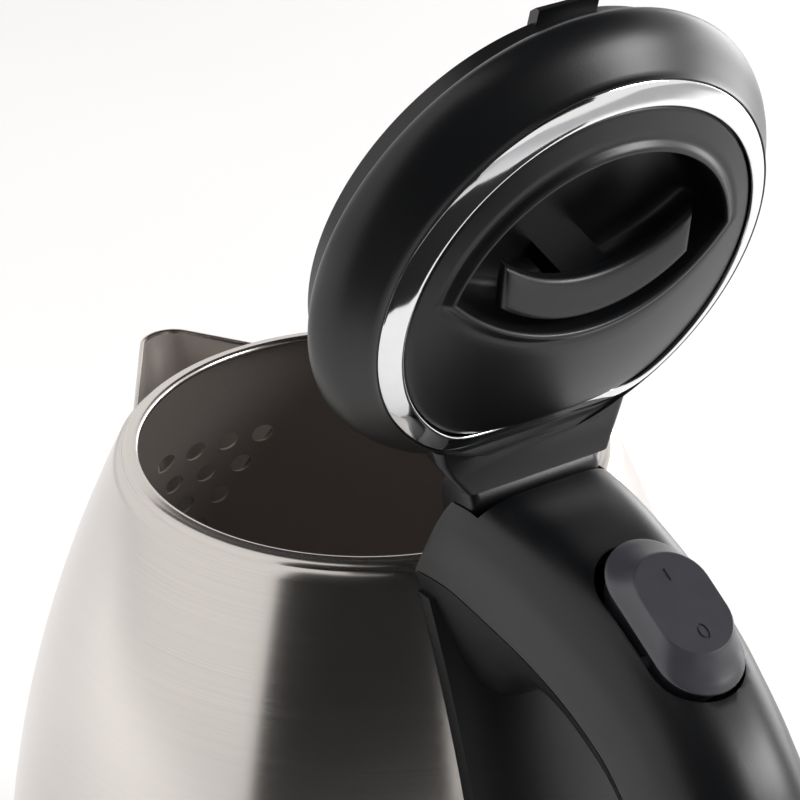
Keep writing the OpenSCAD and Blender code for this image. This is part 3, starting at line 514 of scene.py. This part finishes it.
FOOT = body_r(150) + 0.15
collar = turned(
    "jug_bottom_collar",
    [
        (21.3, 18.3), (75.2, 18.3), (76.4, 18.5), (77.4, 18.9), (78.3, 19.4), (79.0, 20.1), (79.5, 20.8),
        (81.6, 22.6), (83.4, 23.6), (84.1, 24.4), (FOOT + 1.8, 25.6), (FOOT + 1.8, 30.4), (FOOT + 1.65, 31.1),
        (FOOT + 1.3, 31.6), (FOOT + 0.8, 31.95), (FOOT + 0.3, 32.0), (FOOT, 31.8), (FOOT, 26.8),
        (FOOT - 3, 26.8), (FOOT - 3, 24.3), (75, 20.7), (21.3, 20.7), (21.3, 18.3),
    ],
    192, 0,
)
SCREW_AWAY = 33
bores = []
for i in range(3):
    a = math.radians(60 + 120 * i)
    for r, low, high in ((1.7, 16, 26), (3.1, 16, 19.9)):
        at = (SCREW_AWAY * MM * math.cos(a), SCREW_AWAY * MM * math.sin(a), (low + high) / 2 * MM)
        bores.append(rod(r, high - low, at))
for bore in bores:
    cut(collar, bore)
smooth(collar, 35)
collar.data.materials.append(black)
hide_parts("jug_collar")
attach(collar, "jug")

housing = turned(
    "power_base_housing",
    [
        (15.7, 18), (70.2, 18), (72.5, 17.7), (74.7, 17.1), (76.6, 16.0), (78.1, 14.7), (79.1, 13.1),
        (79.7, 11.2), (80, 9.2), (80, 3.5), (79.7, 3.0), (77.8, 3.0), (77.8, 9), (76.6, 13), (73, 15.8),
        (15.7, 15.8), (15.7, 18),
    ],
    192, 0,
)
cut(housing, punch("cord_punch", [(0, 78, 10)], 4.8, 12))
smooth(housing, 35)
housing.data.materials.append(black)
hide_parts("base_housing")
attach(housing, "power_base")

# ---- handle cover and under shell ----
# Two half shells of black plastic that meet along a parting line round the D handle; the
# cover carries the switch pocket and the recess for the lid's knuckle.
TOP_LINE = [
    (55.4, 18.6), (63.5, 19.9), (76, 18.6), (89, 15), (101, 10.6), (112, 5), (122, -2), (131.5, -11),
    (139.5, -22.5), (145, -36), (148, -51), (148, -67), (145, -84), (138, -100), (126, -114), (111, -125),
    (96, -133), (84, -138),
]
PARTING_LINE = [
    (50, -0.4), (60, 0), (72, -2), (84, -4.6), (94, -8), (103, -12.6), (111, -18.4), (118, -25.5),
    (124, -34.5), (128, -45.5), (129.5, -58), (129, -71), (125.5, -84), (118, -96), (107, -106.5), (96, -115),
    (87, -122.5), (80, -128),
]
INNER_LINE = [
    (57, -26), (66, -27), (75, -20.5), (84, -16), (92, -16.5), (100, -20.8), (107.5, -26.8), (113.5, -34),
    (118, -42.5), (121, -52), (122, -62), (121, -73), (117.5, -84), (110.5, -94), (101, -102), (91.5, -109),
    (84, -116), (78, -121),
]


def curve(line, t):
    """A point at t from 0 to 1 on the smooth curve through a line of points."""
    s = min(t * (len(line) - 1), len(line) - 1.0001)
    i = int(s)
    u = s - i
    a, b, c, d = (Vector(line[min(max(j, 0), len(line) - 1)]) for j in (i - 1, i, i + 1, i + 2))
    return 0.5 * (2 * b + (c - a) * u + (2 * a - 5 * b + 4 * c - d) * u**2 + (3 * b - a - 3 * c + d) * u**3)


def mix(a, b, t):
    """From a to b as t goes from 0 to 1, held at both ends."""
    return a + (b - a) * min(1, max(0, t))


SECTION_STEPS = 26


def section(t, seam, back, wall, gap):
    """A closed section of a half shell: its outside from side to side, then its inside."""
    a, b = curve(seam, t), curve(back, t)
    h = (b - a).length
    q = (b - a) / h
    half_width = mix(mix(22, 18, t / 0.33), 20, (t - 0.7) / 0.3)
    squareness = mix(4.5, 2.7, t / 0.4)
    taper = mix(0.2, 0.12, t / 0.3)

    def skin(w, h):
        points = []
        for i in range(SECTION_STEPS * 2 + 1):
            f = math.radians(i * 90 / SECTION_STEPS)
            y = math.copysign(abs(math.cos(f)) ** (2 / squareness), math.cos(f))
            v = abs(math.sin(f)) ** (2 / squareness)
            points.append((w * y * (1 - taper * v), h * v))
        return points

    points = skin(half_width, h - gap) + skin(half_width - wall, h - gap - wall)[::-1]
    return [(a.x + q.x * (v + gap), y, RIM_Z + a.y + q.y * (v + gap)) for y, v in points]


STATIONS, SHELL_WALL = 90, 2.4


def half_shell(name, back, gap):
    """A half of the handle, from the parting line out to its back line."""
    rows = [section(i / STATIONS, PARTING_LINE, back, SHELL_WALL, gap) for i in range(STATIONS + 1)]
    return loft(name, rows)


END_STEPS = 20


def stadium(length, width, z):
    """Points round a flat stadium, clockwise from one end, in the switch's own frame."""
    r = width / 2
    points = []
    for side in (1, -1):
        for i in range(END_STEPS + 1):
            a = -math.pi / 2 + math.pi * i / END_STEPS
            points.append((side * ((length - width) / 2 + r * math.cos(a)), side * r * math.sin(a), z))
    return points


# The pivot, the slope of the handle there, and how far key and pocket sit nearer to the lid.
SWITCH_X, SWITCH_Z, SWITCH_SLOPE = 107.5, 2.5, 30
SLIP = 5.0


def at_switch(points, tilt=0.0):
    """Points from the switch's frame, x along the handle and z out of it, to the kettle's."""
    a = math.radians(SWITCH_SLOPE + tilt)
    return [
        (
            SWITCH_X + x * math.cos(a) + z * math.sin(a),
            y,
            RIM_Z + SWITCH_Z - x * math.sin(a) + z * math.cos(a),
        )
        for x, y, z in points
    ]


def lying(name, polygon, half):
    """A prism across the handle from a polygon of (x, height) in mm."""
    return loft(name, [[(x, y, RIM_Z + z) for x, z in polygon] for y in (-half, half)])


HINGE_X, HINGE_Z = 55.2, 15.7


def round_pin(r, degrees):
    """Points (x, height) in mm on a circle round the hinge pin, at the given angles."""
    turns = [math.radians(a) for a in degrees]
    return [(HINGE_X + r * math.cos(a), HINGE_Z + r * math.sin(a)) for a in turns]


def body_cutter():
    """The steel body's own shape and the space above it, a fifth of a millimetre larger."""
    body_side = [(body_r(max(2.5, d)) + 0.2, -d) for d in [0, 2.5] + depths[3:-1]]
    return turned("body_cutter", [(0, 30), (52.2, 30)] + body_side + [(0, -144)], 128)


RECESS_HALF = 16.2
cover = half_shell("handle_top_cover", TOP_LINE, 0.0)
pocket = [[(x - SLIP, y, z) for x, y, z in stadium(38, 21, z)] for z in (-2, 18)]
cut(cover, loft("pocket_cutter", [at_switch(p, -6) for p in pocket]))
cut(cover, lying("knuckle_cutter", round_pin(7.4, range(-180, 180, 6)), RECESS_HALF))
ramp = [
    (HINGE_X, HINGE_Z), (HINGE_X + 7, HINGE_Z - 2), (HINGE_X + 12.3, HINGE_Z + 8), (HINGE_X, HINGE_Z + 12),
]
cut(cover, lying("ramp_cutter", ramp, RECESS_HALF))
cut(cover, body_cutter())
apply(cover, "BEVEL", width=0.35 * MM, segments=3, limit_method="ANGLE", angle_limit=math.radians(40))
smooth(cover, 35)
cover.data.materials.append(black)
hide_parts("handle_cover")
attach(cover, "jug")


def block(size, middle):
    """A block with its size and its middle in metres, to cut or fence off a piece."""
    bpy.ops.object.select_all(action="DESELECT")
    bpy.ops.mesh.primitive_cube_add(size=1)
    made = bpy.context.object
    made.dimensions = size
    made.location = middle
    bpy.ops.object.transform_apply(location=True, rotation=True, scale=True)
    return made


shell = half_shell("handle_under_shell", INNER_LINE, 0.3)
strip = turned(
    "body_strip",
    [(body_r(d) + 0.1, -d) for d in range(5, 143, 5)]
    + [(body_r(d) + 3.8, -d) for d in range(140, 4, -5)] + [(body_r(5) + 0.1, -5)],
    256,
)
cut(strip, block((0.2, 0.044, 0.146), (0.1, 0, 100 * MM)), "INTERSECT")
cut(shell, strip, "UNION")
cut(shell, body_cutter())
smooth(shell, 35)
shell.data.materials.append(black)
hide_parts("handle_shell")
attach(shell, "jug")

# ---- rocker switch ----
# The key rocks between 0 and I: a flat stadium face with dished flanks, moulded in a dark grey
# a little lighter than the handle, with both marks sunk into the face. It is drawn solid.
key_levels = [
    (32, 16.2, -1), (32, 16.2, 4.2), (35.4, 18.8, 4.3), (35.9, 19.3, 4.6), (35.8, 19.2, 5.0), (34.8, 18.9, 5.5),
    (32.6, 18.4, 6.1), (30.0, 17.8, 6.9), (27.6, 17.3, 7.8), (25.6, 16.8, 8.7), (24.2, 16.5, 9.4),
    (23.5, 16.3, 9.8), (22.8, 15.9, 10.0),
]
outlines = [[(x - SLIP, y, z) for x, y, z in stadium(length, width, z)] for length, width, z in key_levels]
key = loft("rocker_key", [at_switch(outline) for outline in outlines])


def mark(name, outline, low, high):
    """A cutter for a mark, from an outline on the key's face."""
    return loft(name, [at_switch([(x, y, z) for x, y in outline]) for z in (low, high)])


def oval(inset):
    """The mark 0, or its middle, drawn in by a distance in mm."""
    turns = [i * math.tau / 32 for i in range(32)]
    return [(OVAL_X - SLIP + (1.8 - inset) * math.cos(a), (1.25 - inset) * math.sin(a)) for a in turns]


MARK_LOW, MARK_HIGH, OVAL_X = 9.7, 11, 6.9
bar = [(x - SLIP, y) for x, y in ((-7.9, -0.35), (-5.1, -0.35), (-5.1, 0.35), (-7.9, 0.35))]
cut(key, mark("mark_on", bar, MARK_LOW, MARK_HIGH))
ring_cutter = mark("mark_off", oval(0), MARK_LOW, MARK_HIGH)
cut(ring_cutter, mark("mark_core", oval(0.6), 9, 12))
cut(key, ring_cutter)
trunnion = rod(1.5, 19, (SWITCH_X * MM, 0, (RIM_Z + SWITCH_Z) * MM), (math.pi / 2, 0, 0))
cut(key, trunnion, "UNION")
smooth(key, 28)
# ABS moulded smooth: a dark grey that stands out from the black handle, with a soft shine.
gloss = mottled(
    "polished_black_abs", {"Scale": 260.0, "Detail": 3.0}, "#3a3a3f", "#404045", (0.3, 0.38), {"IOR": 1.52}
)
key.data.materials.append(gloss)
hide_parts("rocker_switch")
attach(key, "rocker")

# ---- lid shell ----
# The lid's shell is one moulding: a skirt that enters the jug's mouth, a rounded side, a seat
# for the bright ring, and a tapered neck that ends in the hinge's knuckle. Drawn closed, then
# turned open about the pin.
OPEN_DEGREES = 106.3
LID_TURN = (
    Matrix.Translation((HINGE_X * MM, 0, (RIM_Z + HINGE_Z) * MM))
    @ Matrix.Rotation(math.radians(OPEN_DEGREES), 4, "Y")
    @ Matrix.Translation((-HINGE_X * MM, 0, -(RIM_Z + HINGE_Z) * MM))
)


DEE_STEPS, CORNER_POWER = 160, 30


def dee(r, flat, z):
    """A circle with one straight side towards the hinge, its corners rounded."""
    points = []
    for i in range(DEE_STEPS):
        a = i * math.tau / DEE_STEPS
        if math.cos(a) < 0.2:
            far = r
        else:
            far = (r**-CORNER_POWER + (flat / math.cos(a)) ** -CORNER_POWER) ** (-1 / CORNER_POWER)
        points.append((far * math.cos(a), far * math.sin(a), RIM_Z + z))
    return points


def open_lid(piece):
    """Turns a piece that was drawn on the closed lid to the open lid."""
    piece.data.transform(LID_TURN)
    piece.data.update()


side = [
    (47.5, -2.9), (47.5, 1.7), (48.3, 2.05), (50.2, 2.5), (51.2, 3.1), (51.75, 3.9), (52.0, 4.8),
    (51.9, 5.9), (51.6, 7.0), (51.1, 8.2), (50.4, 9.4), (49.5, 10.65), (48.4, 11.9), (47.4, 13.1),
    (46.5, 14.2), (45.7, 15.2), (45.15, 15.9), (44.95, 16.4), (44.85, 16.8), (44.65, 16.9),
]
under = [
    (44.6, 16.1), (37.7, 16.1), (37.7, 14.1), (43.4, 14.1), (43.9, 13.4), (46, 11), (48, 8.5),
    (49.2, 6.1), (49.2, 4.2), (45.3, 3.9), (45.3, -3.1), (47.2, -3.1),
]
dome = turned("lid_dome", side + under + side[:1], 224)
cut(dome, block((0.02, 0.12, 0.03), ((44.5 + 10) * MM, 0, (RIM_Z + 1.7 + 15) * MM)))
apply(dome, "BEVEL", width=0.5 * MM, segments=3, limit_method="ANGLE", angle_limit=math.radians(50))


CORNER_STEPS = 5


def plate_outline(x, half, low, high, r):
    """A rectangle across the lid at x, with its corners rounded to r."""
    middles = [(half - r, high - r), (-half + r, high - r), (-half + r, low + r), (half - r, low + r)]
    points = []
    for quarter, (cy, cz) in enumerate(middles):
        for i in range(CORNER_STEPS + 1):
            a = math.radians(90 * quarter + 90 * i / CORNER_STEPS)
            points.append((x, cy + r * math.cos(a), RIM_Z + cz + r * math.sin(a)))
    return points


KNUCKLE_R, KNUCKLE_HALF, LUG_HALF = 6.3, 15.8, 4.5
neck_rows = [(40.0, 23.5, 2.4, 15.9), (43.0, 22.6, 3.4, 16.6), (46.0, 20.6, 5.6, 18.2), (49.0, 17.8, 8.6, 20.6)]
for a in (75, 60, 45, 30, 15, 0, -15, -30, -45, -60, -75, -85):
    rise = KNUCKLE_R * math.cos(math.radians(a))
    x = HINGE_X - KNUCKLE_R * math.sin(math.radians(a))
    neck_rows.append((x, KNUCKLE_HALF, HINGE_Z - rise, HINGE_Z + rise))
rows = []
for x, half, low, high in neck_rows:
    rows.append(plate_outline(x, half, low, high, min(2.0, (high - low) / 2.2)))
neck = loft("lid_neck", rows)
slot_shape = [
    (HINGE_X - 2, HINGE_Z), (HINGE_X - 5.2, HINGE_Z - 10.3), (HINGE_X + 12, HINGE_Z - 10.3),
    (HINGE_X + 12, HINGE_Z + 9.3), (HINGE_X + 5, HINGE_Z + 9.3), (HINGE_X + 1, HINGE_Z),
]
cut(neck, lying("lug_slot", slot_shape, LUG_HALF))
cut(neck, lying("lug_round", round_pin(4.6, range(0, 360, 10)), LUG_HALF))
cut(neck, lying("pin_bore", round_pin(1.85, range(0, 360, 10)), 14.4))
cut(dome, neck, "UNION")
smooth(dome, 35)
open_lid(dome)
dome.data.materials.append(black)
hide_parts("lid_shell")
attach(dome, "lid")

# ---- bright ring ----
# A chromed plastic ring with a crowned face, pressed into the lid between shell and cap.
ring_rows = [
    (0.3, 16.15), (0.0, 16.3), (0.0, 16.7), (0.1, 16.9), (0.35, 17.08), (1.2, 17.55), (2.1, 18.03),
    (3.0, 18.48), (3.8, 18.86), (4.1, 18.97), (4.3, 18.96), (4.45, 18.85), (4.5, 18.6), (4.5, 16.15),
    (0.3, 16.15),
]
ring = loft("lid_bright_ring", [dee(44.5 - t, 39.5 - t * 1.22, z) for t, z in ring_rows], False, False)
smooth(ring, 60)
open_lid(ring)
# Bright chromium over nickel on smooth ABS: a clear mirror with the faintest haze.
chrome = mottled(
    "chrome_plated_abs", {"Scale": 300.0}, "#e6e8ea", "#f0f1f2", (0.04, 0.09), {"Metallic": 1.0}
)
ring.data.materials.append(chrome)
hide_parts("lid_ring")
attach(ring, "lid")

# ---- lid cap ----
# The domed cap inside the ring, moulded in black, with an eye-shaped finger recess whose
# edge is rolled up into a soft bead.
EYE_MID = -12.0
EYE_OUT, EYE_IN, EYE_X, EYE_W = 31.4, 6.9, 6.0, 31.8


CAP_EDGE_Z, CAP_RISE, CAP_R = 18.5, 6.5, 39.6


def dome_z(x, y):
    """Height of the cap's dome above the rim."""
    return CAP_EDGE_Z + CAP_RISE * (1 - (x * x + y * y) / CAP_R**2)


def eye_point(a, grow):
    """The eye's outline at angle a about its middle, grown by a distance in mm."""
    outer, inner = EYE_OUT - EYE_X, EYE_IN + EYE_X
    outer_r = (EYE_W**2 + outer**2) / (2 * outer)
    inner_r = (EYE_W**2 + inner**2) / (2 * inner)
    far = []
    for cx, r in ((-EYE_OUT + outer_r, outer_r + grow), (EYE_IN - inner_r, inner_r + grow)):
        dx = EYE_MID - cx
        b = dx * math.cos(a)
        far.append(-b + math.sqrt(b * b - dx * dx + r * r))
    return min(far)


def dee_point(a, r, flat):
    """Distance from the eye's middle to the cap's own outline at angle a."""
    b = EYE_MID * math.cos(a)
    round_ = -b + math.sqrt(b * b - EYE_MID**2 + r * r)
    if math.cos(a) < 0.05:
        return round_
    straight = (flat - EYE_MID) / math.cos(a)
    return (round_**-CORNER_POWER + straight**-CORNER_POWER) ** (-1 / CORNER_POWER)


corner = math.atan2(EYE_W, -EYE_MID - EYE_X)
angles = sorted([math.tau * i / 180 for i in range(180)] + [corner, math.tau - corner])


def cap_row(reach, height):
    """One outline of the cap, from its distance and its height at each angle round the eye."""
    row = []
    for a in angles:
        away = reach(a)
        x, y = EYE_MID + away * math.cos(a), away * math.sin(a)
        row.append((x, y, RIM_Z + height(x, y)))
    return row


# The rim that goes down beside the ring, the dome, the bead, and the walls and floor of the recess.
CAP_SEAT_Z = 16.2
cap_rows = [cap_row(lambda a: dee_point(a, 39.6, 33.75), lambda x, y: CAP_SEAT_Z)]
for inset, sunk in ((0.12, 0.3), (0.3, 0.15)):
    cap_rows.append(
        cap_row(lambda a: dee_point(a, 39.75 - inset, 33.9 - inset), lambda x, y: dome_z(x, y) - sunk)
    )


def between(a, share):
    """A distance that goes from the cap's edge to the bead's foot as share goes from 0 to 1."""
    near, far = eye_point(a, 3.6), dee_point(a, 39.4, 33.5)
    return far + (min(near, far - 0.2) - far) * share


for share in (0.04, 0.15, 0.3, 0.45, 0.6, 0.75, 0.88, 1.0):
    cap_rows.append(cap_row(lambda a: between(a, share), dome_z))
bead = [
    (3.0, -0.12), (2.5, -0.32), (2.1, -0.3), (1.7, 0.0), (1.3, 0.4), (0.9, 0.68), (0.5, 0.78), (0.15, 0.65),
    (-0.1, 0.3), (-0.25, -0.3), (-0.3, -1.2),
]
for grow, lift in bead:
    cap_rows.append(
        cap_row(lambda a: min(eye_point(a, grow), dee_point(a, 39.2, 33.3)), lambda x, y: dome_z(x, y) + lift)
    )
for grow, z in ((-0.45, 14.5), (-0.8, 11.0), (-1.6, 9.7), (-3.0, 9.1), (-6.0, 9.0)):
    cap_rows.append(cap_row(lambda a: eye_point(a, grow), lambda x, y: z))
cap = loft("lid_cap_with_recess", cap_rows, False, True)
smooth(cap, 40)
open_lid(cap)
cap.data.materials.append(black)
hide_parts("lid_cap")
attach(cap, "lid")

# ---- latch grip ----
# The crescent plate that the fingers pull towards the hinge, with an arm that reaches down to
# the tongue. The cap's floor is drawn without its slot, so the arm goes straight into it.
CRESCENT_STEPS = 26


def crescent(inset, z):
    """The grip plate's outline, drawn in from its edges, on a plane that rises to the hinge."""
    half = 22 - inset
    back_c, back_r = -4.4 - 34.0, 34.0 + inset
    front_c, front_r = 4.5 - 36.0, 36.0 - inset
    points = []
    for i in range(CRESCENT_STEPS + 1):
        y = -half + 2 * half * i / CRESCENT_STEPS
        points.append((back_c + math.sqrt(back_r**2 - y * y), y))
    for i in range(CRESCENT_STEPS + 1):
        y = half - 2 * half * i / CRESCENT_STEPS
        points.append((front_c + math.sqrt(front_r**2 - y * y), y))
    slope = math.tan(math.radians(9))
    return [(x, y, RIM_Z + z + (x + 4.4) * slope) for x, y in points]


GRIP_TOP = 22.9
plate_rows = [
    (0.5, -3.0), (0.15, -2.8), (0, -2.4), (0, -1.3), (0.1, -0.8), (0.35, -0.4), (0.8, -0.12), (1.4, 0.0),
    (2.2, 0.05),
]
grip = loft("latch_grip_plate", [crescent(inset, GRIP_TOP + z) for inset, z in plate_rows])
ARM_HALF = 5.5
arm = [
    (-15.4, -1.95), (-9.4, -1.95), (-9.4, 0.9), (0.5, 0.9), (0.5, 21), (-3.5, 20.4), (-3.5, 3.5), (-15.4, 3.5),
]
cut(grip, lying("latch_arm", arm, ARM_HALF), "UNION")
smooth(grip, 40)
open_lid(grip)
grip.data.materials.append(black)
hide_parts("latch_lever")
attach(grip, "latch")

# ---- finishes of the other nodes ----
# Small mouldings, seals, contacts and screws keep their shapes and get their real finishes.

# Matt elastomer with a fine bloom, which scatters light evenly.
rubber = mottled(
    "moulded_black_rubber", {"Scale": 700.0, "Detail": 3.0}, "#202123", "#2b2c2e", (0.7, 0.85)
)

# Food-grade silicone, milky and dull.
silicone = mottled(
    "translucent_silicone", {"Scale": 240.0}, "#c6c4bd", "#d3d1ca", (0.45, 0.55)
)

# Screws, pin and bracket: a dull blue-grey plating with fine mottling.
zinc = mottled(
    "zinc_plated_steel", {"Scale": 900.0, "Detail": 4.0}, "#a3a6a8", "#bdbfc1", (0.28, 0.42), {"Metallic": 1.0}
)

# Heater plate and tube: pale, dull, slightly blotchy from casting.
aluminium = mottled(
    "die_cast_aluminium", {"Scale": 160.0, "Detail": 5.0}, "#b4b6b8", "#cccdce", (0.42, 0.6), {"Metallic": 1.0}
)

# Contact strip, rolled bright and dulled by handling.
brass = mottled(
    "spring_brass", {"Scale": 420.0, "Detail": 4.0}, "#b8923f", "#d1ad5c", (0.2, 0.35), {"Metallic": 1.0}
)

FINISH = {
    "black_plastic": black, "brushed_steel": satin, "chrome": chrome, "screw_steel": zinc,
    "aluminium": aluminium, "brass": brass, "rubber": rubber, "silicone": silicone,
}
for part in frame["record"]["subparts"]:
    piece = frame["nodes"][part["node"]]
    piece.data.materials.clear()
    piece.data.materials.append(FINISH[part["material_slot"]])
